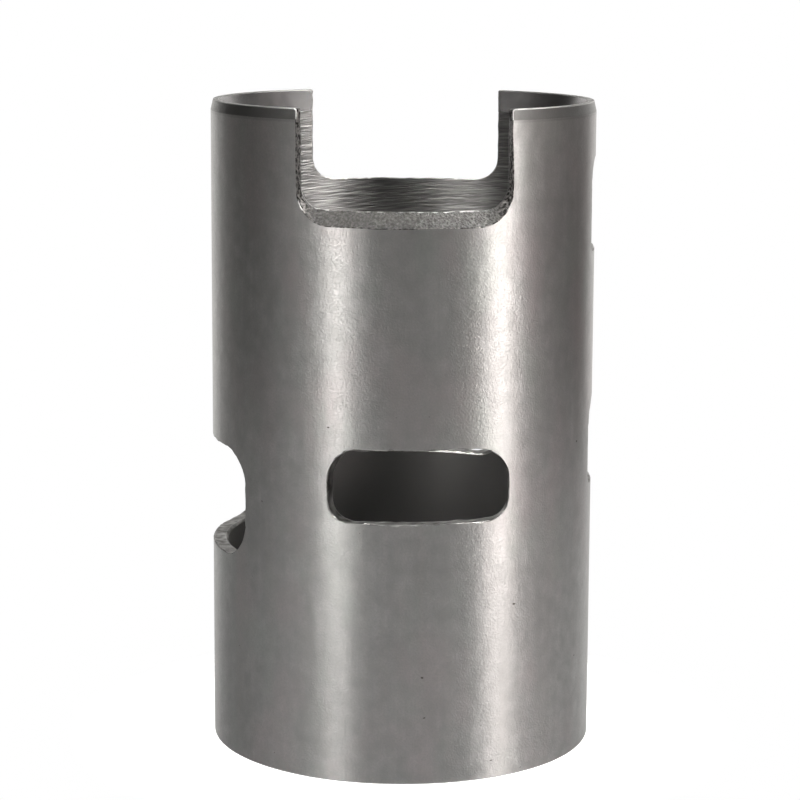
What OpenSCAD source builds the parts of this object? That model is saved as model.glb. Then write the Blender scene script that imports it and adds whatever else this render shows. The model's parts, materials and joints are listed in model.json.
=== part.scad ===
// Cylinder liner of a loop-charged two-stroke engine, stood on its head end.
// The origin is the middle of the head-end face, and +Z runs up the bore to the skirt.
// The exhaust window faces -X, the boost port +X, and the transfer ports -Y and +Y.

/* [Tube] */
// Outside diameter, ground for a press fit in the block
outer_d = 82.5; // [82:0.25:84]
// Diameter of the honed bore
bore_d = 76; // [75:0.25:76.5]
// Length from the head-end face to the skirt rim
length = 139; // [136:0.5:145]
// Edge break round the outside of the head end
head_break = 0.3; // [0.2:0.05:0.5]
// Chamfer round the bore at the head end
head_chamfer = 0.5; // [0.3:0.1:1]

/* [Skirt rim] */
// Height of the outside lead-in, which starts the liner into the block
lead_h = 2.2; // [1.5:0.1:4]
// How much that lead-in takes off the radius at the rim
lead_off = 0.5; // [0.2:0.1:0.8]
// Height of the inside taper, which gathers the piston rings
taper_h = 4.75; // [3:0.25:6]
// How much that taper adds to the bore's radius at the rim
taper_out = 1.45; // [0.5:0.05:1.6]

/* [Skirt notches] */
// Width of the two notches that clear the connecting rod
notch_w = 42.1; // [36:0.1:46]
// Depth of the notches below the rim, at the bore
notch_depth = 20.4; // [16:0.1:26]
// Corner radius left by the cutter
notch_corner = 5; // [3:0.5:8]
// How far the ground bevel drops below the notch floor, across the wall
bevel_drop = 3; // [1.5:0.1:4]
// Width of the floor that the bevel leaves beside the bore
bevel_land = 0.3; // [0.2:0.05:1]
// How far the bevel widens the notch at each side
bevel_side = 1; // [0.3:0.05:1.5]
// How much the bevel adds to the corner radius
bevel_corner = 1.5; // [0.5:0.1:3]

/* [Exhaust window] */
// Width across the chord
exhaust_w = 50; // [40:0.5:54]
// Height
exhaust_h = 23.1; // [20:0.1:28]
// Height of its timing edge above the head-end face
exhaust_z = 43.5; // [38:0.5:46]
// Corner radius
exhaust_corner = 7.5; // [4:0.5:9]

/* [Transfer ports] */
// Height
transfer_h = 15.3; // [13:0.1:17]
// Height of the timing edge above the head-end face
transfer_z = 55; // [50:0.1:58]
// Where the end nearest the boost port breaks the outside, from the middle plane
transfer_front = 22; // [18:0.2:24]
// Where the end nearest the exhaust breaks the outside, from the middle plane
transfer_rear = 15.2; // [12:0.2:17]
// Turn of the end nearest the exhaust, which aims the charge at the boost port
transfer_turn = 25; // [10:1:30]
// Corner radius at the timing edge
transfer_low_corner = 4.5; // [3:0.5:5]
// Corner radius at the skirt side
transfer_high_corner = 7; // [5:0.5:7.5]

/* [Boost port] */
// Width
boost_w = 20.5; // [14:0.5:22]
// Height from the timing edge to the top of the arch
boost_h = 19; // [16:0.2:22]
// Height of the timing edge above the head-end face
boost_z = 56.9; // [52:0.1:60]
// Corner radius at the timing edge
boost_low_corner = 2.5; // [1:0.5:4]
// Corner radius at the skirt side, which rounds it to an arch
boost_high_corner = 8; // [6:0.5:9]

/* [Boost feed window] */
// Width
feed_w = 20; // [12:0.5:22]
// Height
feed_h = 19.7; // [16:0.1:24]
// Height of its lower edge above the head-end face
feed_z = 107.6; // [100:0.1:110]
// Corner radius at its lower edge
feed_low_corner = 1.5; // [1:0.5:4]
// Corner radius at the skirt side
feed_high_corner = 5; // [2:0.5:7]

/* [Hidden] */
$fn = 96;
outer_r = outer_d / 2;
bore_r = bore_d / 2;
notch_z = length - notch_depth;
// A slot this long reaches past the far end of a transfer port
slot_w = 60;
// Places where the middle of a notch's corner meets the bore and the outside
corner_x = notch_w / 2 - notch_corner * (1 - cos(45));
corner_in_y = sqrt(bore_r * bore_r - corner_x * corner_x);
corner_out_y = sqrt(outer_r * outer_r - corner_x * corner_x);
// Where the turned end of a transfer port breaks the outside, across its own stream
rear_y = sqrt(outer_r * outer_r - transfer_rear * transfer_rear);
rear_across = rear_y * sin(transfer_turn) - transfer_rear * cos(transfer_turn);

// The turned and honed tube, with its four edge forms, as one revolved section
module tube() {
    rotate_extrude()
        polygon([
            [bore_r + head_chamfer, 0],
            [outer_r - head_break, 0],
            [outer_r, head_break],
            [outer_r, length - lead_h],
            [outer_r - lead_off, length],
            [bore_r + taper_out, length],
            [bore_r, length - taper_h],
            [bore_r, head_chamfer]
        ]);
}

// Outline of a window that stands on y = 0, with its own corner radius below and above
module window(w, h, low_corner, high_corner) {
    translate([-w / 2, low_corner])
        square([w, h - low_corner - high_corner]);
    translate([-w / 2 + low_corner, 0])
        square([w - 2 * low_corner, h / 2]);
    translate([-w / 2 + high_corner, h / 2])
        square([w - 2 * high_corner, h / 2]);
    for (side = [-1, 1]) {
        translate([side * (w / 2 - low_corner), low_corner])
            circle(low_corner);
        translate([side * (w / 2 - high_corner), h - high_corner])
            circle(high_corner);
    }
}

// Carries an outline from the axis out through the wall, towards a bearing from +X
module cut_through(bearing, z) {
    rotate([0, 0, bearing])
        translate([0, 0, z])
            rotate([90, 0, 90])
                linear_extrude(height = outer_d)
                    children();
}

// U outline of a notch, open upwards; grow runs from 0 at the bore to 1 at the outside
module notch_outline(grow) {
    corner = notch_corner + grow * bevel_corner;
    half_w = notch_w / 2 + grow * bevel_side;
    floor_z = notch_z - grow * bevel_drop;
    translate([-half_w, floor_z + corner])
        square([2 * half_w, length]);
    translate([-half_w + corner, floor_z])
        square([2 * (half_w - corner), length]);
    for (side = [-1, 1])
        translate([side * (half_w - corner), floor_z + corner])
            circle(corner);
}

// One straight cut across the skirt leaves the same notch in both walls
module notches() {
    rotate([90, 0, 0])
        linear_extrude(height = 2 * outer_d, center = true)
            notch_outline(0);
}

// Hand-ground bevel round the outside of a notch. The floor's face is part of a cone
// round the bore, and a flared outline ends it at the corners and up the sides.
module ground_bevel() {
    slope = bevel_drop / (outer_r - bore_r - bevel_land);
    overrun = 2;
    inner_z = notch_z + (overrun + bevel_land) * slope;
    intersection() {
        rotate_extrude()
            polygon([
                [bore_r - overrun, inner_z],
                [outer_r + overrun, notch_z - bevel_drop - overrun * slope],
                [outer_r + overrun, length + overrun],
                [bore_r - overrun, length + overrun]
            ]);
        hull() {
            for (grow = [-0.3, 2.5])
                translate([0, -corner_in_y - grow * (corner_out_y - corner_in_y), 0])
                    rotate([90, 0, 0])
                        linear_extrude(height = 0.01)
                            notch_outline(grow, $fn = 48);
        }
    }
}

// Transfer port in the -Y wall. One end is milled straight through, and the other is
// turned, so the port is what two slots have in common.
module transfer_port() {
    intersection() {
        cut_through(-90, transfer_z)
            translate([transfer_front - slot_w / 2, 0])
                window(slot_w, transfer_h, transfer_low_corner, transfer_high_corner);
        cut_through(-90 - transfer_turn, transfer_z)
            translate([rear_across + slot_w / 2, 0])
                window(slot_w, transfer_h, transfer_low_corner, transfer_high_corner);
    }
}

module exhaust_window() {
    cut_through(180, exhaust_z)
        window(exhaust_w, exhaust_h, exhaust_corner, exhaust_corner);
}

// The side towards the skirt is arched, and the timing edge is almost square
module boost_port() {
    cut_through(0, boost_z)
        window(boost_w, boost_h, boost_low_corner, boost_high_corner);
}

module feed_window() {
    cut_through(0, feed_z)
        window(feed_w, feed_h, feed_low_corner, feed_high_corner);
}

module cylinder_liner() {
    color([0.50, 0.49, 0.48])
        difference() {
            tube();
            notches();
            ground_bevel();
            mirror([0, 1, 0])
                ground_bevel();
            transfer_port();
            mirror([0, 1, 0])
                transfer_port();
            exhaust_window();
            boost_port();
            feed_window();
        }
}

cylinder_liner();
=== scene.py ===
import json
import math

import bpy
import numpy as np
from mathutils import Matrix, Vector
from mathutils.geometry import delaunay_2d_cdt


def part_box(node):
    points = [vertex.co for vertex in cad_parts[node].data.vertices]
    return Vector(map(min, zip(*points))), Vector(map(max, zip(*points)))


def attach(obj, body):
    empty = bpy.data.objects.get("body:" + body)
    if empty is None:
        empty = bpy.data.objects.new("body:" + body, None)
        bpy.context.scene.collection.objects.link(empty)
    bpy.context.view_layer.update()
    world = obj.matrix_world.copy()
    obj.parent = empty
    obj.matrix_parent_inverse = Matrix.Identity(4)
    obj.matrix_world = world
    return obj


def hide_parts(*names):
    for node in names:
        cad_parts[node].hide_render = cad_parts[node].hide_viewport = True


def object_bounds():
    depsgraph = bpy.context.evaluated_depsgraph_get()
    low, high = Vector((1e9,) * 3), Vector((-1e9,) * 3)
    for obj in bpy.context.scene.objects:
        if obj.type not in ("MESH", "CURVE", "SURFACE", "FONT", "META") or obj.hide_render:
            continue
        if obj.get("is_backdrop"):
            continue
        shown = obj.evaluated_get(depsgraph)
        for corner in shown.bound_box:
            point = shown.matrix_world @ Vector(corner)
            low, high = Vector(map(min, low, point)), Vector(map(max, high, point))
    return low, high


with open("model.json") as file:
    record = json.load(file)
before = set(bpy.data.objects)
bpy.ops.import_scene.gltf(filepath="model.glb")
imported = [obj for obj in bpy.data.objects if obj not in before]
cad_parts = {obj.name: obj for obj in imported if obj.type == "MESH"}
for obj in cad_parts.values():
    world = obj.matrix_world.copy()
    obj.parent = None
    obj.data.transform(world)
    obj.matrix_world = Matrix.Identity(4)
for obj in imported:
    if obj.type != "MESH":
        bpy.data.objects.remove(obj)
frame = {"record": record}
cad_box = [list(corner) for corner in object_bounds()]

# The camera stands in front of a transfer port, a little above the skirt rim, and looks
# slightly down. Its lens is long, so the two sides of the liner look almost parallel.
camera_distance, camera_height = 0.54542, 0.17132
camera_bearing, camera_aim, camera_pitch, camera_roll = np.radians([0.115, 0.056, 9.049, 0.261])
camera = bpy.data.objects.new("camera", bpy.data.cameras.new("camera"))
camera.data.sensor_width = 36.0
camera.data.lens = 114.24
camera.data.shift_y = -0.0625
camera.data.clip_start, camera.data.clip_end = 0.05, 20.0
camera.matrix_world = (
    Matrix.Translation((
        camera_distance * math.sin(camera_bearing),
        -camera_distance * math.cos(camera_bearing),
        camera_height,
    ))
    @ Matrix.Rotation(camera_bearing + camera_aim, 4, "Z")
    @ Matrix.Rotation(math.pi / 2 - camera_pitch, 4, "X")
    @ Matrix.Rotation(camera_roll, 4, "Z")
)
bpy.context.scene.collection.objects.link(camera)
bpy.context.scene.camera = camera

# The turned blank: a cast-iron tube, ground outside and honed inside. At the skirt rim a
# lead-in is turned outside and a ring taper inside. Each height has one radius for each wall.
liner_low, liner_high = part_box("cylinder_liner")
outer_radius = (liner_high.y - liner_low.y) / 2
rim_height = liner_high.z
bore_mount = next(mount for mount in frame["record"]["mounts"] if mount["name"] == "bore")
bore_radius = bore_mount["dims"]["r_mm"] / 1000
lead_height, lead_off, lead_fillet = 0.0022, 0.0005, 0.00012
taper_height, taper_out, taper_fillet = 0.00475, 0.00145, 0.0002


def ramp(x, fillet):
    """0 below x = 0 and x above it, joined within a fillet of 0 by (x + fillet)^2 / (4 fillet)."""
    near = (x + fillet) ** 2 / (4 * fillet)
    return np.where(x < -fillet, 0.0, np.where(x > fillet, x, near))


def outside_radius(z):
    """The ground radius, less lead_off / lead_height for each metre above the lead-in's lower edge."""
    return outer_radius - lead_off / lead_height * ramp(z - rim_height + lead_height, lead_fillet)


def inside_radius(z):
    """The honed radius, plus taper_out / taper_height for each metre above the taper's lower edge."""
    return bore_radius + taper_out / taper_height * ramp(z - rim_height + taper_height, taper_fillet)


def wall_point(across, up, bearing, radius):
    """Where a cutter that runs along a bearing meets a radius. In the cutter's own plane the point
    is across to its left hand and up, so its depth is the root of radius^2 - across^2."""
    depth = np.sqrt(radius**2 - across**2)
    x = depth * np.cos(bearing) - across * np.sin(bearing)
    y = depth * np.sin(bearing) + across * np.cos(bearing)
    return np.stack(np.broadcast_arrays(x, y, up), axis=-1)


def wall_normals(places, radius_at, side):
    """The normal of a turned wall at each point: away from the axis for side 1 and towards it for
    side -1, tilted by the slope of the wall's radius with height."""
    step = 1e-6
    slope = (radius_at(places[:, 2] + step) - radius_at(places[:, 2] - step)) / (2 * step)
    away = places[:, :2] / np.linalg.norm(places[:, :2], axis=1, keepdims=True)
    normal = side * np.column_stack([away, -slope])
    return normal / np.linalg.norm(normal, axis=1, keepdims=True)


# Each cut face is a grid: rows run from the ground outside to the honed bore, and columns run
# round the opening. They and the two walls are joined into one mesh, kept in these lists.
OUTSIDE, BORE, CUT, ROUGH = range(4)
points, normals, triangles, finishes, shade_and_glint = [], [], [], [], []


def lumps(rows, columns, size, seed):
    """Random heights on a grid that closes on itself, blurred over size cells by a Gaussian filter
    of their spectrum, and scaled to a spread of 1."""
    noise = np.random.default_rng(seed).standard_normal((rows, columns))
    frequency = np.hypot(np.fft.fftfreq(rows)[:, None], np.fft.fftfreq(columns)[None])
    blurred = np.fft.ifft2(np.fft.fft2(noise) * np.exp(-2 * (np.pi * size * frequency) ** 2)).real
    return (blurred - blurred.mean()) / blurred.std()


def grid_normals(grid):
    """The cross product of the central differences along columns and rows, at unit length."""
    along = np.roll(grid, -1, axis=1) - np.roll(grid, 1, axis=1)
    cross = np.cross(along, np.gradient(grid, axis=0))
    return cross / np.linalg.norm(cross, axis=-1, keepdims=True)


def lay_cut_face(grid, finish, shade_glint):
    """Adds a grid that closes on itself along its columns, as two triangles for each cell. Its first
    and last rows take the normals of the walls that they meet. Returns those rows' vertex numbers."""
    rows, columns = grid.shape[:2]
    outside = wall_normals(grid[0], outside_radius, 1)
    facing = grid_normals(grid)
    outwards = (facing[1] * outside).sum() > 0
    facing = facing if outwards else -facing
    facing[0], facing[-1] = outside, wall_normals(grid[-1], inside_radius, -1)
    number = sum(map(len, points)) + np.arange(rows * columns).reshape(rows, columns)
    beside = np.roll(number, -1, axis=1)
    a, b, c, d = number[:-1].ravel(), beside[:-1].ravel(), beside[1:].ravel(), number[1:].ravel()
    cells = np.concatenate([np.stack([a, b, c], 1), np.stack([a, c, d], 1)])
    points.append(grid.reshape(-1, 3))
    normals.append(facing.reshape(-1, 3))
    triangles.append(cells if outwards else cells[:, ::-1])
    finishes.append(np.tile(np.broadcast_to(finish, (rows, columns))[:-1].ravel(), 2))
    shade_and_glint.append(np.broadcast_to(shade_glint, (rows, columns)).ravel())
    return number[0], number[-1]


# Windows are milled through the wall by a cutter that runs straight out from the bore. Their
# outside edges are broken by hand, unevenly, and their bore edges get a bevel for the rings.
edge_step = 0.0004
edge_break, break_wander, chip_size = 0.00018, 0.00005, 0.00022
smallest_break, largest_break = 0.00006, 0.0007
ring_bevel, ring_bevel_depth = 0.0006, 0.0005
cutter_marks = 0.00005
face_rows, bevel_rows = 8, 4
window_edges = []


def window_outline(width, height, low_corner, high_corner):
    """Across, up and the normal into the metal, along a window that stands on up = 0, by even steps
    of its length. It is eight pieces, anticlockwise from the foot: quarter circles at places 0, 2, 4
    and 6, and the straight side that follows each."""
    turns = np.radians([-90, 0, 90, 180])
    radii = [low_corner, high_corner, high_corner, low_corner]
    centres = np.array([
        [width / 2 - low_corner, low_corner],
        [width / 2 - high_corner, height - high_corner],
        [high_corner - width / 2, height - high_corner],
        [low_corner - width / 2, low_corner],
    ])
    pieces = []
    for i in range(4):
        steps = max(4, round(radii[i] * math.pi / 2 / edge_step))
        turn = turns[i] + np.arange(steps) / steps * math.pi / 2
        facing = np.column_stack([np.cos(turn), np.sin(turn)])
        pieces.append(np.hstack([centres[i] + radii[i] * facing, facing]))
        facing = np.array([-math.sin(turns[i]), math.cos(turns[i])])
        start = centres[i] + radii[i] * facing
        end = centres[(i + 1) % 4] + radii[(i + 1) % 4] * facing
        steps = max(2, round(math.dist(start, end) / edge_step))
        along = np.arange(steps)[:, None] / steps
        pieces.append(np.hstack([start + along * (end - start), np.tile(facing, (steps, 1))]))
    return pieces


def mill_window(pieces, bearing, foot, seed, side=1):
    """Carries an outline through the wall. A row's radius goes from the outside to the bore, and its
    outline is spread along its normals: by a quarter round at the outside edge, whose size wanders,
    and by a straight bevel at the bore. Side -1 mirrors the window into the opposite wall. The face
    gets painted shade, its bevel none, and its outside edge gets painted shade in patches."""
    across, up, facing_across, facing_up = np.concatenate(pieces).T
    columns = len(across)
    chips = np.clip(lumps(1, columns, 0.9, seed)[0] - 0.9, 0, 1.6)
    broken = edge_break + break_wander * lumps(1, columns, 6, seed + 1)[0] + chip_size * chips
    broken = np.clip(broken, smallest_break, largest_break)
    turn = np.radians([0, 22.5, 45, 67.5, 90])[:, None]
    face = np.linspace(0, 1, face_rows + 1)[1:, None]
    bevel = np.linspace(0, 1, bevel_rows + 1)[1:, None]
    face_foot = bore_radius + ring_bevel_depth
    radius = np.concatenate([
        outer_radius - broken * (1 - np.cos(turn)),
        (outer_radius - broken) * (1 - face) + face_foot * face,
        face_foot - ring_bevel_depth * bevel + 0 * broken,
    ])
    spread = np.concatenate([
        broken * (1 - np.sin(turn)),
        0 * face * broken,
        ring_bevel * bevel + 0 * broken,
    ])
    rough = cutter_marks * lumps(len(radius), columns, 1.4, seed + 2)
    rough[[0, -1]] = 0
    spread = spread + rough
    grid = wall_point(
        across + spread * facing_across, foot + up + spread * facing_up, bearing, radius
    )
    grid[..., 1] *= side
    # Painted shade on the face and, a little, on the outside rounding, and more in patches along the
    # outside edge.
    shade_glint = 0.25 * lumps(len(radius), columns, 1.3, seed + 3)
    shade_glint[:len(turn)] -= 0.15
    shade_glint[len(turn):-bevel_rows - 1] -= 0.55
    shade_glint[:2] -= np.clip(lumps(1, columns, 2.5, seed + 4)[0], 0, 0.8)
    window_edges.append(lay_cut_face(grid, CUT, np.clip(shade_glint, -1, 1)))


exhaust_window = window_outline(width=0.050, height=0.0231, low_corner=0.0075, high_corner=0.0075)
mill_window(exhaust_window, bearing=math.pi, foot=0.0435, seed=10)

# The boost port and the window above it that feeds it are milled through the wall opposite
# the exhaust. Their tops are arched, and the port's timing edge is almost square.
boost_port = window_outline(width=0.0205, height=0.019, low_corner=0.0025, high_corner=0.008)
feed_window = window_outline(width=0.020, height=0.0197, low_corner=0.0015, high_corner=0.005)
mill_window(boost_port, bearing=0.0, foot=0.0569, seed=20)
mill_window(feed_window, bearing=0.0, foot=0.1076, seed=30)

# The two transfer ports face each other. The end of each that is nearest the boost port is
# milled straight out, and its other end along a stream that is turned by 25 degrees.
transfer_front, transfer_rear, transfer_turn = 0.022, 0.0152, math.radians(25)
transfer_foot, transfer_height, slot_width = 0.055, 0.0153, 0.060
transfer_low_corner, transfer_high_corner = 0.0045, 0.007


def transfer_pieces():
    """The front end is a slot's right end, and the rear end a turned slot's left end. On the foot
    and the top, which they share, the cut's bearing goes evenly from one stream to the other. A
    point of them is across by the outside radius times the sine of its bearing from the stream."""
    slot = window_outline(slot_width, transfer_height, transfer_low_corner, transfer_high_corner)
    rear_depth = math.sqrt(outer_radius**2 - transfer_rear**2)
    rear_edge = rear_depth * math.sin(transfer_turn) - transfer_rear * math.cos(transfer_turn)
    straight = -math.pi / 2
    turned = straight - transfer_turn
    for i in (0, 1, 2):
        slot[i][:, 0] += transfer_front - slot_width / 2
    for i in (4, 5, 6):
        slot[i][:, 0] += rear_edge + slot_width / 2
    bearings = [np.full(len(piece), straight if i < 3 else turned) for i, piece in enumerate(slot)]
    for i, before, after in ((3, 2, 4), (7, 6, 0)):
        first = bearings[before][-1] + math.asin(slot[before][-1, 0] / outer_radius)
        last = bearings[after][0] + math.asin(slot[after][0, 0] / outer_radius)
        steps = round(abs(last - first) * outer_radius / edge_step)
        along = np.arange(1, steps) / steps
        bearings[i] = bearings[before][-1] + along * (bearings[after][0] - bearings[before][-1])
        across = outer_radius * np.sin(first + along * (last - first) - bearings[i])
        slot[i] = np.column_stack([across, np.tile(slot[i][0, 1:], (len(across), 1))])
    return slot, np.concatenate(bearings)


transfer_outline, transfer_bearing = transfer_pieces()
mill_window(transfer_outline, transfer_bearing, transfer_foot, seed=40)
mill_window(transfer_outline, transfer_bearing, transfer_foot, seed=50, side=-1)

# The skirt end: one straight cut across it leaves a notch in each wall, and the outside edge
# of each is ground back by hand to a rough bevel. Between them stands the turned rim.
notch_width, notch_depth, notch_corner, notch_offset = 0.0421, 0.0204, 0.005, 0.00035
bevel_drop, bevel_side, bevel_side_at_rim, bevel_corner = 0.0030, 0.00075, 0.0006, 0.0015
floor_land, side_land, rim_land = 0.0003, 0.0007, 0.00045
narrows_below_rim, narrows_over = 0.009, 0.008
side_wander, floor_wander, land_wander = 0.12, 0.02, 0.2
burr_wave, burr_chip = 0.00004, 0.00009
rim_break, rim_corner = 0.0002, 0.00045
grinding_step, rim_step = 0.00035, 0.0006
quarter = np.radians([[0], [30], [60], [90]])
# The bearing of the line where the walls' sheets are cut open later, clear of every window
seam = math.radians(-132)
# Heights where the taper and the lead-in begin, below and above their fillets
creases = [
    rim_height - taper_height - taper_fillet,
    rim_height - taper_height + taper_fillet,
    rim_height - lead_height - lead_fillet,
    rim_height - lead_height + lead_fillet,
]

# Rows of the skirt's edge, from the outside to the bore: 4 round the outside edge, 12 across the
# bevel, one in the middle of the land and 4 round the bore edge. Each has its share of the way
# through the bevel, its depth under both walls, its share of the land, and its rounding.
crown_rows, ground_rows, mid_land = 21, 15, 16
outer_round, bore_round = slice(0, 4), slice(17, 21)
outside_break = 0.6 * rim_break
through = np.concatenate([np.zeros(4), np.linspace(0, 1, 13)[1:], np.ones(5)])[:, None]
below = np.full((crown_rows, 1), outside_break)
below[outer_round] = outside_break * (1 - np.cos(quarter))
land_left = np.ones((crown_rows, 1))
land_left[mid_land] = 0.5
land_left[bore_round] = 0
above_bore = np.zeros((crown_rows, 1))
above_bore[mid_land] = 0.5 * rim_break
above_bore[bore_round] = rim_break * (1 - np.sin(quarter))
rounding = np.zeros((crown_rows, 1))
rounding[outer_round] = rim_break * (1 - np.sin(quarter))
rounding[bore_round] = rim_break * (1 - np.cos(quarter))


def even_steps(start, end, step):
    """Places from start up to but not at end, a step or a little less apart."""
    return np.linspace(start, end, max(1, math.ceil(abs(end - start) / step)), endpoint=False)


def half_notch():
    """Columns from the middle of the floor to the rim. Each has its share of the flat, its turn
    round the corner, the step that the rim's corner adds across, and its height as a share of the
    outline's own, a fixed height, and a share of the rim's."""
    flat = even_steps(0, 1, grinding_step / (notch_width / 2 - notch_corner))
    turn = even_steps(0, math.pi / 2, grinding_step / notch_corner)
    corner_top = rim_height - notch_depth + notch_corner
    climb = even_steps(0, 1, grinding_step / (creases[0] - corner_top))
    fixed = np.concatenate([even_steps(a, b, grinding_step) for a, b in zip(creases, creases[1:])])
    last = even_steps(0, 1, grinding_step / (rim_height - rim_corner - creases[3]))
    round_off = np.linspace(0, math.pi / 2, 6)
    side = math.pi / 2

    def columns(flat, turn, step_out, own, fixed, rim):
        """A row of six values for each column, with single values repeated."""
        return np.column_stack(np.broadcast_arrays(flat, turn, step_out, own, fixed, rim))

    return np.concatenate([
        columns(flat, 0, 0, 1, 0, 0),
        columns(1, turn, 0, 1, 0, 0),
        columns(1, side, 0, 1 - climb, climb * creases[0], 0),
        columns(1, side, 0, 0, fixed, 0),
        columns(1, side, 0, 0, (1 - last) * creases[3] - last * rim_corner, last),
        columns(1, side, rim_corner * (1 - np.cos(round_off)), 0,
                rim_corner * (np.sin(round_off) - 1), 1),
    ])


def cut_notch(bearing, seed):
    """A notch's grid and its painted shade and glint. Its half width, floor and corner grow with the
    way left through the bevel, so each row is the same U, and the radius goes from the outside to the
    bore. The values go from -1, painted shade, as on the sides, to 1, painted glint, as along the
    floor's ragged bore edge and, in patches, the outside edge above the corners."""
    half = half_notch()
    columns = np.concatenate([half[::-1], half[1:]])
    hand = np.repeat([-1, 1], [len(half), len(half) - 1])
    flat, turn, step_out, own, fixed, rim = columns.T
    sideways = np.sin(turn)
    height = own * (rim_height - notch_depth + notch_corner) + fixed + rim * rim_height
    near_rim = np.clip((height - rim_height + narrows_below_rim) / narrows_over, 0, 1)
    wander = lumps(1, len(columns), 9, seed)[0]
    unevenness = lumps(1, len(columns), 2.0, seed + 1)[0]
    side_growth = bevel_side + (bevel_side_at_rim - bevel_side) * near_rim
    side_growth = side_growth * (1 + side_wander * wander)
    land = floor_land + (side_land - floor_land) * sideways + (rim_land - side_land) * near_rim
    land = land * (1 + (land_wander + side_wander * sideways) * unevenness)
    growth = 1 - through
    half_width = notch_width / 2 + growth * side_growth
    floor = rim_height - notch_depth - growth * bevel_drop * (1 + floor_wander * wander)
    corner = notch_corner + growth * bevel_corner
    chips = np.clip(lumps(1, len(columns), 0.8, seed + 2)[0] - 1.1, 0, 1.2)
    ragged = rounding + (burr_wave * unevenness + burr_chip * chips) * (through > 0.8)
    across = flat * (half_width - corner) + corner * sideways + ragged * sideways + step_out
    outline = floor + corner * (1 - np.cos(turn)) - ragged * np.cos(turn)
    up = own * outline + fixed + rim * (rim_height - rounding)
    bore_side = inside_radius(up) + land * land_left + above_bore
    radius = (1 - through) * (outside_radius(up) - below) + through * bore_side
    place = wall_point(hand * across - notch_offset * math.sin(bearing), up, bearing, radius)

    on_side = np.clip(2 * sideways - 0.9, 0, 1)
    on_lead_in = height > rim_height - lead_height
    above_corner = np.clip(1.6 - np.abs(sideways - 0.9) * 14, 0, 1)
    patchy = lumps(1, len(columns), 0.9, seed + 3)[0]
    burr = np.clip(0.4 + 0.5 * patchy, -0.6, 1)
    # Painted shade on the sides and round the outside edge. Painted glint where the sides meet the
    # lead-in, along the floor's bore edge and in patches above the corners.
    shade_glint = np.zeros((crown_rows, len(columns)))
    shade_glint[outer_round] = -0.8 - 0.2 * on_side + 1.6 * on_side * on_lead_in
    shade_glint[3:ground_rows - 1] = -0.95 * on_side
    shade_glint[ground_rows:ground_rows + 3] = np.where(on_side > 0, -0.8 * on_side, burr)
    shade_glint[outer_round] += 1.9 * above_corner * (patchy > -0.4)
    return place, shade_glint


def bearing_of(place):
    """The angle round the axis, counted up from the seam."""
    return (np.arctan2(place[..., 1], place[..., 0]) - seam) % (2 * math.pi) + seam


def turn_rim(start, end):
    """An arc of the rim from one column's bearings up to but not at another's, by even steps. Its
    radius goes from the outside to the bore, at one height for each row."""
    steps = math.ceil(np.max(end - start) * outer_radius / rim_step)
    bearing = np.linspace(start, end, steps, endpoint=False, axis=-1)
    up = rim_height - rounding
    bore_side = inside_radius(up) + rim_land * land_left + above_bore
    radius = (1 - through) * (outside_radius(up) - below) + through * bore_side
    return np.stack(np.broadcast_arrays(radius * np.cos(bearing), radius * np.sin(bearing), up), -1)


(front_notch, front_shade_glint), (back_notch, back_shade_glint) = (
    cut_notch(-math.pi / 2, 60), cut_notch(math.pi / 2, 70)
)
at_seam = np.full(crown_rows, seam)
arcs = [
    turn_rim(at_seam, bearing_of(front_notch[:, 0])),
    front_notch,
    turn_rim(bearing_of(front_notch[:, -1]), bearing_of(back_notch[:, 0]))[:, 1:],
    back_notch,
    turn_rim(bearing_of(back_notch[:, -1]), at_seam + 2 * math.pi)[:, 1:],
]
crown_finish = np.full((crown_rows, sum(arc.shape[1] for arc in arcs)), CUT)
is_notch = np.repeat([False, True, False, True, False], [arc.shape[1] for arc in arcs])
crown_finish[:ground_rows, is_notch] = ROUGH
crown_shade_glint = np.zeros(crown_finish.shape)
# A painted highlight along the rim's outside rounding.
crown_shade_glint[outer_round] = 0.35
crown_shade_glint[:, is_notch] = np.hstack([front_shade_glint, back_shade_glint])
crown_edges = lay_cut_face(np.concatenate(arcs, axis=1), crown_finish, crown_shade_glint)

# The head end, on which the liner stands: a face turned flat, with its outside edge broken and
# its bore edge chamfered.
head_break, head_chamfer = 0.0003, 0.0005
foot_columns, flat_rows = 432, 6
foot_bearing = seam + np.linspace(0, 2 * math.pi, foot_columns, endpoint=False)
flat = np.linspace(outer_radius - head_break, bore_radius + head_chamfer, flat_rows)[1:, None]
foot_radius = np.concatenate([
    outer_radius - head_break * (1 - np.cos(quarter)), flat, flat[-1:] - head_chamfer
])
foot_up = np.concatenate([head_break * (1 - np.sin(quarter)), 0 * flat, [[head_chamfer]]])
foot = wall_point(0 * foot_bearing, foot_up, foot_bearing, foot_radius)
foot_edges = lay_cut_face(foot, CUT, np.zeros((len(foot), 1)))

# The turned walls. Each is a sheet, cut open at the seam and unrolled to millimetres round the
# axis and up it. It fills what the cut faces' edges leave, and its lattice stays clear of them by
# the clearance, in those millimetres.
wall_columns, wall_step, clearance = 260, 0.0025, 0.4


def inside(outline, places):
    """Whether places lie inside an outline: a line along +X from each crosses it an odd number of
    times. It meets a side where the side's share of its rise brings it to the place's height."""
    x, y = places[:, :1], places[:, 1:]
    (x0, y0), (x1, y1) = outline.T, np.roll(outline, -1, axis=0).T
    rise = np.where(y1 == y0, 1, y1 - y0)
    crossed = ((y0 > y) != (y1 > y)) & (x < x0 + (y - y0) / rise * (x1 - x0))
    return crossed.sum(axis=1) % 2 == 1


def unroll(bearing, height):
    """Millimetres round the outside from the seam, and up from the foot."""
    return 1000 * np.column_stack([outer_radius * (bearing - seam), height])


def unroll_edge(edge, from_seam=False):
    """A cut face's edge, unrolled. One that starts at the seam has its first point at 0."""
    place = np.concatenate(points)[edge]
    line = unroll(bearing_of(place), place[:, 2])
    line[:1, 0] *= not from_seam
    return line


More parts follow.
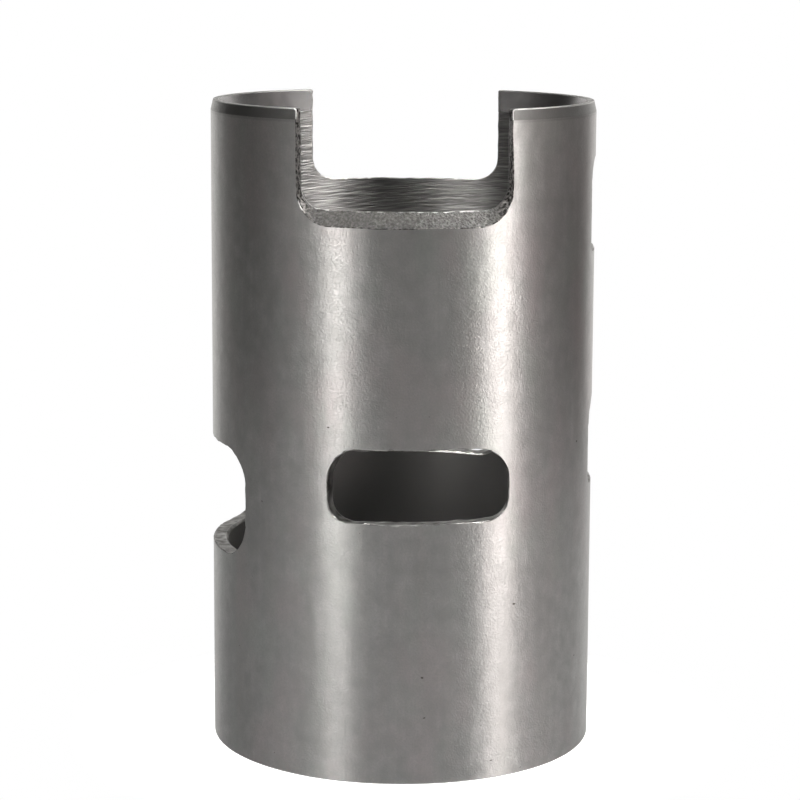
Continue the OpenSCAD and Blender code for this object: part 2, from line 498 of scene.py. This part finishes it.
def lay_wall(radius_at, side, foot_edge, crown_edge, window_edges, finish):
    """Adds a wall. Its points are those of its edges, and a lattice of even bearings and heights
    wherever that is clear of the edges. Delaunay's rule joins them into triangles, and those whose
    middle lies in a window are left out."""
    heights = np.concatenate([even_steps(0, creases[0], wall_step)[1:], creases])
    heights = np.append(heights, (creases[-1] + rim_height) / 2)
    bearings = seam + np.linspace(0, 2 * math.pi, wall_columns, endpoint=False)[1:]
    bearing, height = (part.ravel() for part in np.meshgrid(bearings, heights))
    seam_line = unroll(seam + 0 * heights, heights)
    foot_line, crown_line = unroll_edge(foot_edge, True), unroll_edge(crown_edge, True)
    once_round = unroll(np.array([seam + 2 * math.pi]), 0)
    border = np.vstack([
        foot_line, once_round + foot_line[:1], once_round + seam_line,
        once_round + crown_line[:1], crown_line[::-1], seam_line[::-1],
    ])
    windows = [unroll_edge(edge) for edge in window_edges]
    lattice = unroll(bearing, height)
    kept = inside(border, lattice)
    for window in windows:
        kept &= ~inside(window, lattice)
    for line in [border] + windows:
        away = (lattice[:, :1] - line[:, 0]) ** 2 + (lattice[:, 1:] - line[:, 1]) ** 2
        kept &= away.min(axis=1) > clearance**2

    bearing = np.concatenate([seam + 0 * heights, bearing[kept]])
    height = np.concatenate([heights, height[kept]])
    place = wall_point(0 * height, height, bearing, radius_at(height))
    number = sum(map(len, points)) + np.arange(len(place))
    up_seam = number[:len(heights)]
    numbers = np.concatenate([
        foot_edge, foot_edge[:1], up_seam, crown_edge[:1], crown_edge[::-1], up_seam[::-1],
        *window_edges, number[len(heights):],
    ])
    sheet = np.vstack([border, *windows, lattice[kept]])
    starts = np.cumsum([0, len(border)] + [len(window) for window in windows])
    sides = [np.arange(a, b) for a, b in zip(starts, starts[1:])]
    sides = np.concatenate([np.column_stack([line, np.roll(line, -1)]) for line in sides])
    cells, origins = delaunay_2d_cdt(sheet.tolist(), sides.tolist(), [], 1, 1e-6)[2:4]
    cells = np.array(origins).ravel()[np.array(cells)]
    middle = sheet[cells].mean(axis=1)
    for window in windows:
        outside = ~inside(window, middle)
        cells, middle = cells[outside], middle[outside]
    points.append(place)
    normals.append(wall_normals(place, radius_at, side))
    triangles.append(numbers[cells][:, ::side])
    finishes.append(np.full(len(cells), finish))
    shade_and_glint.append(np.zeros(len(place)))


for wall, (radius_at, side, finish) in enumerate([
    (outside_radius, 1, OUTSIDE), (inside_radius, -1, BORE)
]):
    cut_edges = [edges[wall] for edges in window_edges]
    lay_wall(radius_at, side, foot_edges[wall], crown_edges[wall], cut_edges, finish)

# The liner is one casting, so its walls and cut faces are one closed mesh. It stands for the plain
# node, has the same sizes, and keeps each point's painted shade and glint for the finishes.
mesh = bpy.data.meshes.new("turned_liner")
mesh.from_pydata(
    np.concatenate(points).tolist(), [], np.concatenate(triangles).tolist(), shade_flat=False
)
mesh.polygons.foreach_set("material_index", np.concatenate(finishes).astype(np.int32))
mesh.attributes.new("shade_and_glint", "FLOAT", "POINT").data.foreach_set("value", np.concatenate(shade_and_glint))
mesh.normals_split_custom_set_from_vertices(np.concatenate(normals).tolist())
liner = bpy.data.objects.new("turned_liner", mesh)
bpy.context.scene.collection.objects.link(liner)
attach(liner, "root")
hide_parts("cylinder_liner")

# Finishes of the iron. Each is bare metal, with its marks worked out from the place on the
# piece in metres, so that they don't slide or stretch.


def feed(material, socket, value):
    """Joins another socket to a socket, or sets it to a value. A colour gets its alpha of 1."""
    if isinstance(value, bpy.types.NodeSocket):
        material.node_tree.links.new(value, socket)
    elif socket.type == "RGBA":
        socket.default_value = (*value, 1.0)
    else:
        socket.default_value = value


def add_node(material, kind, inputs=(), **settings):
    """A shader node with its settings, and a value or another socket for each input."""
    node = material.node_tree.nodes.new("ShaderNode" + kind)
    for name, value in settings.items():
        setattr(node, name, value)
    for name, value in dict(inputs).items():
        feed(material, node.inputs[name], value)
    return node


def iron(name):
    """A new material with a metal shader. Returns it, the shader and the object's coordinates."""
    material = bpy.data.materials.new(name)
    material.use_nodes = True
    shader = material.node_tree.nodes["Principled BSDF"]
    shader.inputs["Metallic"].default_value = 1.0
    liner.data.materials.append(material)
    return material, shader, add_node(material, "TexCoord").outputs["Object"]


def grain(material, place, stretch, size, low, high, detail=3.0):
    """A noise of grains of a size in metres, shorter along an axis by its stretch, that goes from 0
    at the noise level low to 1 at high."""
    scaled = add_node(material, "Mapping", {"Vector": place, "Scale": stretch})
    noise = add_node(
        material, "TexNoise", {"Vector": scaled.outputs[0], "Scale": 1 / size, "Detail": detail}
    )
    share = add_node(
        material, "MapRange", {"Value": noise.outputs["Fac"], "From Min": low, "From Max": high}
    )
    return share.outputs["Result"]


def blend(material, amount, first, second):
    """The colour first where the amount is 0, second where it is 1, and a mixture between."""
    mix = add_node(material, "Mix", {"Factor": amount}, data_type="RGBA")
    for place, colour in ((6, first), (7, second)):
        feed(material, mix.inputs[place], colour)
    return mix.outputs[2]


def span(material, amount, low, high):
    """A value that goes from low where the amount is 0 to high where it is 1."""
    values = {"Value": amount, "To Min": low, "To Max": high}
    return add_node(material, "MapRange", values).outputs["Result"]


def combine(material, operation, first, second):
    """The result of a sum on two values."""
    return add_node(material, "Math", {0: first, 1: second}, operation=operation).outputs[0]


def finish_iron(material, shader, colour, roughness, *reliefs):
    """Sets a metal's colour and roughness, and its reliefs as a chain of Bump nodes, each with its
    height from 0 to 1 and its depth in metres."""
    feed(material, shader.inputs["Base Color"], colour)
    feed(material, shader.inputs["Roughness"], roughness)
    below = {}
    for height, depth in reliefs:
        inputs = {"Height": height, "Distance": depth, "Strength": 1.0, **below}
        below = {"Normal": add_node(material, "Bump", inputs).outputs["Normal"]}
    feed(material, shader.inputs["Normal"], below["Normal"])


def set_lay(material, shader, amount):
    """Marks that run round the axis spread a reflection up and down, by an amount from 0 to 1."""
    up = add_node(material, "CombineXYZ", {"Z": 1.0})
    feed(material, shader.inputs["Tangent"], up.outputs["Vector"])
    feed(material, shader.inputs["Anisotropic"], amount)


def band(material, value, low, high, fade):
    """1 where a value lies between low and high, and 0 beyond a fade on each side of them."""
    rise = add_node(material, "MapRange", {"Value": value, "From Min": low - fade, "From Max": low})
    fall = add_node(material, "MapRange", {"Value": value, "From Min": high + fade, "From Max": high})
    return combine(material, "MINIMUM", rise.outputs["Result"], fall.outputs["Result"])


def shade_glint_share(material, sign):
    """How far the attribute of painted shade and glint goes from 0 towards 1, the glint, or towards
    -1, the shade, for sign -1.
    """
    shade_glint = add_node(material, "Attribute", attribute_name="shade_and_glint").outputs["Fac"]
    share = add_node(material, "MapRange", {"Value": shade_glint, "From Max": float(sign)})
    return share.outputs["Result"]


# Ground outside: a fine grain under a mottle from handling, faint stains and rubs that run down
# it, rosy and greenish patches, and a few dark nicks low down. The lead-in gets painted shade, and
# a faint line of painted shade lies just under it.
ground, shader, place = iron("ground_iron")
height = add_node(ground, "SeparateXYZ", {"Vector": place}).outputs["Z"]
lead_foot, nicks_top = rim_height - lead_height, 0.090
on_lead = band(ground, height, lead_foot, rim_height, 0.0001)
under_lead = band(ground, height, lead_foot - 0.0004, lead_foot - 0.0002, 0.0003)
mottle = grain(ground, place, (1, 1, 0.6), 0.012, 0.3, 0.7)
patch = grain(ground, place, (1, 1, 0.9), 0.0028, 0.3, 0.7)
stain = grain(ground, place, (1, 1, 0.06), 0.004, 0.45, 0.75)
streak = grain(ground, place, (1, 1, 0.03), 0.0012, 0.35, 0.65)
speckle = grain(ground, place, (1, 1, 1), 0.0004, 0.3, 0.7)
rosy = grain(ground, place, (1, 1, 0.45), 0.011, 0.5, 0.68)
green = grain(ground, place, (1.1, 1.1, 0.5), 0.0095, 0.54, 0.7)
nick = grain(ground, place, (1, 1, 1.6), 0.0022, 0.77, 0.80, 2.0)
low_down = band(ground, height, 0.0, nicks_top, 0.004)
colour = blend(ground, mottle, (0.48, 0.475, 0.465), (0.58, 0.575, 0.565))
for amount, share, tint in (
    (patch, 1.0, (0.39, 0.385, 0.375)),
    (stain, 0.5, (0.43, 0.41, 0.395)),
    (streak, 0.35, (0.38, 0.38, 0.375)),
    (rosy, 0.5, (0.52, 0.465, 0.465)),
    (green, 0.4, (0.455, 0.49, 0.455)),
    (speckle, 0.45, (0.35, 0.35, 0.345)),
    (nick, low_down, (0.10, 0.09, 0.08)),
    # Painted shade on the lead-in, and a faint line of it just under the lead-in.
    (on_lead, 0.8, (0.175, 0.175, 0.17)),
    (under_lead, 0.3, (0.22, 0.215, 0.21)),
):
    colour = blend(ground, combine(ground, "MULTIPLY", amount, share), colour, tint)
roughness = span(ground, speckle, 0.285, 0.39)
finish_iron(ground, shader, colour, roughness, (speckle, 0.000018), (patch, 0.000018))
set_lay(ground, shader, 0.5)

# Honed bore: two sets of fine scratches, wound round it both ways at a shallow angle, whose light
# lines are partly painted glint. The ring taper is only turned, and the lower part of the bore,
# at the head end, gets painted shade and is dull.
honed, shader, place = iron("honed_iron")
hone_angle, shade_top, shade_fade = math.radians(7), 0.070, 0.030
scratches = []
height = add_node(honed, "SeparateXYZ", {"Vector": place}).outputs["Z"]
for way, size in ((1, 0.0037), (-1, 0.0046)):
    twist = way / (bore_radius * math.tan(hone_angle))
    angle = combine(honed, "MULTIPLY", height, twist)
    twisted = add_node(
        honed, "VectorRotate", {"Vector": place, "Angle": angle}, rotation_type="Z_AXIS"
    )
    scratches.append(grain(honed, twisted.outputs[0], (1, 1, 6), size, 0.42, 0.66, 4.0))
speckle = grain(honed, place, (1, 1, 1), 0.0006, 0.3, 0.7)
smear = grain(honed, place, (1, 1, 1), 0.004, 0.35, 0.65)
on_taper = band(honed, height, rim_height - taper_height, rim_height, 0.0001)
shaded_low_bore = band(honed, height, 0.0, shade_top, shade_fade)
below_taper = combine(honed, "SUBTRACT", 1.0, on_taper)
fresh = combine(honed, "SUBTRACT", below_taper, shaded_low_bore)
# The scratches' lighter lines are partly their own tone and partly painted glint.
colour = blend(honed, scratches[0], (0.22, 0.218, 0.214), (0.44, 0.435, 0.43))
crossing = combine(honed, "MULTIPLY", scratches[1], 0.5)
colour = blend(honed, crossing, colour, (0.40, 0.395, 0.39))
# Painted shade, darker towards the bottom of the bore.
colour = blend(honed, shaded_low_bore, colour, (0.26, 0.255, 0.25))
turned = blend(honed, smear, (0.30, 0.295, 0.295), (0.38, 0.37, 0.37))
turned = blend(honed, combine(honed, "MULTIPLY", speckle, 0.3), turned, (0.24, 0.235, 0.235))
colour = blend(honed, on_taper, colour, turned)
dulled = combine(honed, "MAXIMUM", combine(honed, "MULTIPLY", fresh, 0.25), shaded_low_bore)
roughness = span(honed, dulled, 0.27, 0.52)
first, second = (combine(honed, "MULTIPLY", scratch, fresh) for scratch in scratches)
finish_iron(honed, shader, colour, roughness, (first, 0.00006), (second, 0.00003))
set_lay(honed, shader, span(honed, fresh, 0.2, 0.9))

# Milled and turned faces, of the ports, the rim and the head end: a fine speckle left by the
# cutter, with painted shade where the attribute on the points is below 0 and painted glint where
# it is above.
milled, shader, place = iron("milled_iron")
speckle = grain(milled, place, (1, 1, 1), 0.0006, 0.3, 0.7, 4.0)
colour = blend(milled, speckle, (0.38, 0.38, 0.37), (0.50, 0.50, 0.49))
# Painted shade where the attribute on the points is below 0, painted glint where it is above.
shade_colour = blend(milled, speckle, (0.07, 0.068, 0.065), (0.20, 0.19, 0.18))
colour = blend(milled, shade_glint_share(milled, -1), colour, shade_colour)
colour = blend(milled, shade_glint_share(milled, 1), colour, (0.80, 0.795, 0.78))
finish_iron(milled, shader, colour, span(milled, speckle, 0.34, 0.48), (speckle, 0.00003))

# Hand-ground bevel round the notches: coarse grains torn by the stone, and short scores across
# the wall. Its sides are pitted and get painted shade, nearly black, and it gets painted glints
# where the attribute on the points is above 0.
rough, shader, place = iron("hand_ground_iron")
torn = grain(rough, place, (1, 1, 1), 0.00055, 0.35, 0.65, 4.0)
fine = grain(rough, place, (1, 1, 0.35), 0.0004, 0.35, 0.65)
colour = blend(rough, torn, (0.085, 0.083, 0.08), (0.195, 0.193, 0.19))
colour = blend(rough, combine(rough, "MULTIPLY", fine, 0.5), colour, (0.085, 0.083, 0.08))
pitted = grain(rough, place, (1, 1, 1), 0.0007, 0.42, 0.62)
# Painted shade, nearly black, on the sides, and painted glint where the attribute is above 0.
shade_colour = blend(rough, pitted, (0.006, 0.0055, 0.005), (0.36, 0.345, 0.33))
colour = blend(rough, shade_glint_share(rough, -1), colour, shade_colour)
colour = blend(rough, shade_glint_share(rough, 1), colour, (0.80, 0.80, 0.79))
roughness = span(rough, fine, 0.36, 0.6)
finish_iron(rough, shader, colour, roughness, (torn, 0.00008), (fine, 0.00004))

# The stand: a white room with a plain pale floor. The iron also sees a round screen of five rings
# of lit paper, a ceiling and a dull table, and the camera sees none of them. A light has its
# bearing in degrees from the front, its strength and, where it is rosy, how much redder it is.
fade_radius, floor_radius, table_radius, screen_radius = 0.056, 0.074, 0.36, 0.9
floor_hole, ceiling_hole, stage_steps = 0.0001, 0.001, 96
paper_headroom, paper_red, paper_blue = 1.2, 1.02, 0.975
screen_edges = [-1.2, 0.15, 0.27, 0.43, 1.0, 1.6]
low_lights = [
    (-180, 1.0), (-152, 1.0), (-145, 0.62), (-138, 0.34), (-122, 0.15), (-100, 0.08),
    (-85, 0.08), (-76, 0.10), (-67, 0.16), (-58, 0.24), (-50, 0.20), (-43, 0.17), (-41, 6.0),
    (-35.5, 6.0), (-34, 0.2), (-20, 0.18), (0, 0.175), (40, 0.18), (51.5, 0.24), (53, 4.7, 0.03),
    (64.3, 4.7, 0.03), (66, 0.14, 0.1), (75, 0.10, 0.14), (85, 0.08, 0.14), (95, 0.07, 0.16),
    (105, 0.065, 0.16), (134, 0.09, 0.16), (142, 0.25), (150, 0.95), (180, 1.0),
]
high_lights = [
    (-180, 1.0), (-150, 0.9), (-140, 0.16), (-122, 0.04), (-107, 0.05), (-96, 0.12), (-85, 0.24),
    (-76, 0.42), (-67, 0.62), (-58, 0.74), (-50, 0.54), (-43, 0.40), (-41.5, 5.2), (-34.5, 5.2),
    (-33, 0.28), (0, 0.24), (51.5, 0.3), (53, 8.2, 0.07), (63, 8.2, 0.07), (64.5, 0.72, 0.14),
    (75, 0.62, 0.14), (85, 0.54, 0.14), (95, 0.54, 0.12), (105, 0.54), (120, 0.54), (134, 0.62),
    (142, 0.7), (150, 0.95), (180, 1.0),
]
lead_lights = [
    (-180, 0.7), (-150, 0.5), (-140, 0.05), (-120, 0.01), (-60, 0.02), (-45, 0.04), (-41.5, 1.5),
    (-34.5, 1.5), (-33, 0.18), (0, 0.18), (51.5, 0.3), (53, 2.0), (65, 2.0), (68, 1.1),
    (78, 0.75), (90, 0.45, 0.1), (104, 0.2, 0.1), (120, 0.12), (134, 0.14), (150, 0.7),
    (180, 0.7),
]
taper_lights = [
    (-180, 0.35), (-165, 0.35), (-140, 0.23), (-117, 0.11), (-100, 0.17), (-92, 0.36),
    (-78, 0.33), (-68, 0.12), (-30, 0.06), (30, 0.06), (50, 0.1), (60, 0.4), (66, 0.65), (76, 0.5),
    (87, 0.35), (101, 0.28), (125, 0.26), (160, 0.33), (180, 0.35),
]
top_lights = [
    (-180, 0.2), (-90, 0.1), (-53, 0.05), (-51.5, 120.0), (-47.5, 120.0), (-46, 0.05), (62, 0.05),
    (67, 52.0), (84, 52.0), (90, 0.2), (100, 0.2), (110, 0.1), (180, 0.2),
]
ceiling_lights = [(-180, 0.2), (-90, 0.3), (-30, 0.05), (30, 0.05), (90, 0.35), (180, 0.2)]


def stage_piece(name, radius, height, material, seen=True):
    """A turned sheet of the stage, from the radius and height of each of its rows."""
    turn = np.linspace(0, 2 * math.pi, stage_steps + 1)[None]
    radius, height = np.array(radius)[:, None], np.array(height)[:, None]
    grid = np.stack(np.broadcast_arrays(radius * np.cos(turn), radius * np.sin(turn), height), -1)
    rows, columns = grid.shape[:2]
    number = np.arange(rows * columns).reshape(rows, columns)
    cells = np.stack([number[:-1, :-1], number[:-1, 1:], number[1:, 1:], number[1:, :-1]], -1)
    mesh = bpy.data.meshes.new(name)
    mesh.from_pydata(grid.reshape(-1, 3).tolist(), [], cells.reshape(-1, 4).tolist())
    mesh.materials.append(material)
    piece = bpy.data.objects.new(name, mesh)
    piece.visible_camera = seen
    bpy.context.scene.collection.objects.link(piece)
    piece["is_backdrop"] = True
    return piece


def stage_material(name):
    """A material with nothing but its output."""
    material = bpy.data.materials.new(name)
    material.use_nodes = True
    material.node_tree.nodes.remove(material.node_tree.nodes["Principled BSDF"])
    return material


def finish_stage_material(material, shader):
    """Joins a shader to the material's output."""
    output = material.node_tree.nodes["Material Output"]
    feed(material, output.inputs["Surface"], shader.outputs[0])
    return material


def lit_paper(name, lights):
    """Paper whose light goes evenly from each light of a list to the next with its bearing, which is
    the arc tangent of x over -y. All of it is a little warm."""
    paper = stage_material(name)
    brightest = paper_headroom * max(light[1] for light in lights)
    shares = np.array([light[1] for light in lights]) / brightest
    reds = shares * [paper_red + sum(light[2:]) for light in lights]
    colours = np.column_stack([reds, shares, paper_blue * shares, np.ones(len(lights))])
    place = add_node(paper, "TexCoord").outputs["Object"]
    split = add_node(paper, "SeparateXYZ", {"Vector": place})
    ahead = combine(paper, "MULTIPLY", split.outputs["Y"], -1.0)
    bearing = combine(paper, "ARCTAN2", split.outputs["X"], ahead)
    round_screen = {"Value": bearing, "From Min": -math.pi, "From Max": math.pi}
    share = add_node(paper, "MapRange", round_screen).outputs["Result"]
    ramp_node = add_node(paper, "ValToRGB", {"Fac": share})
    stops = ramp_node.color_ramp.elements
    for light, colour in zip(lights[1:-1], colours[1:-1]):
        stops.new((light[0] + 180) / 360).color = colour
    stops[0].color, stops[len(stops) - 1].color = colours[0], colours[-1]
    glow = add_node(paper, "Emission", {"Color": ramp_node.outputs["Color"], "Strength": brightest})
    return finish_stage_material(paper, glow)


for i, (name, lights) in enumerate([
    ("low_screen", low_lights), ("high_screen", high_lights), ("lead_screen", lead_lights),
    ("taper_screen", taper_lights), ("top_screen", top_lights),
]):
    paper = lit_paper(name, lights)
    stage_piece(name, [screen_radius] * 2, screen_edges[i:i + 2], paper, False)
ceiling = lit_paper("ceiling", ceiling_lights)
stage_piece("ceiling", [ceiling_hole, screen_radius], [screen_edges[-1]] * 2, ceiling, False)

# The table lies round the liner, just above the floor. Its top is a dull mirror with a glow.
table_lift, table_gap = 0.0002, 0.00002
table_light, table_colour, table_roughness = 0.26, (0.55, 0.55, 0.55), 0.12
table_top = stage_material("table_top")
glow = add_node(table_top, "Emission", {"Strength": table_light})
mirror = add_node(
    table_top, "BsdfAnisotropic", {"Color": table_colour, "Roughness": table_roughness}
)
both = add_node(table_top, "AddShader", {0: glow.outputs[0], 1: mirror.outputs[0]})
finish_stage_material(table_top, both)
table = stage_piece(
    "table", [outer_radius + table_gap, table_radius], [table_lift] * 2, table_top, False
)
table.visible_diffuse = table.visible_shadow = False

# The floor is matt white board. Its white is lifted where the camera or the iron looks at it,
# from 1 mm under the liner's edge outwards, and it is clear from 1 mm inside its own edge.
floor_colour, floor_lift, floor_margin = (0.8, 0.8, 0.8), 0.78, 0.001
board = stage_material("floor_board")
rays = add_node(board, "LightPath").outputs
looked_at = rays["Is Camera Ray"]
for ray in ("Is Glossy Ray", "Is Transmission Ray"):
    looked_at = combine(board, "MAXIMUM", looked_at, rays[ray])
place = add_node(board, "TexCoord").outputs["Object"]
away = add_node(board, "VectorMath", {0: place}, operation="LENGTH").outputs["Value"]
beyond = combine(board, "GREATER_THAN", away, outer_radius - floor_margin)
lift = combine(board, "MULTIPLY", combine(board, "MULTIPLY", looked_at, beyond), floor_lift)
matt = add_node(board, "BsdfDiffuse", {"Color": floor_colour})
white = add_node(board, "Emission", {"Strength": lift})
both = add_node(board, "AddShader", {0: matt.outputs[0], 1: white.outputs[0]})
fading = {"Value": away, "From Min": fade_radius, "From Max": floor_radius - floor_margin}
fade = add_node(board, "MapRange", fading).outputs["Result"]
clear = add_node(board, "BsdfTransparent").outputs[0]
faded = add_node(board, "MixShader", {0: fade, 1: both.outputs[0], 2: clear})
finish_stage_material(board, faded)
stage_piece("floor", [floor_hole, floor_radius], [0, 0], board)

world = bpy.data.worlds.new("white_room")
world.use_nodes = True
background = world.node_tree.nodes["Background"]
background.inputs["Color"].default_value = (1.0, 1.0, 1.0, 1.0)
background.inputs["Strength"].default_value = 1.0
bpy.context.scene.world = world
bpy.context.scene.view_settings.view_transform = "Standard"

size = {"cad": cad_box, "visual": [list(corner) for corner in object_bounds()]}
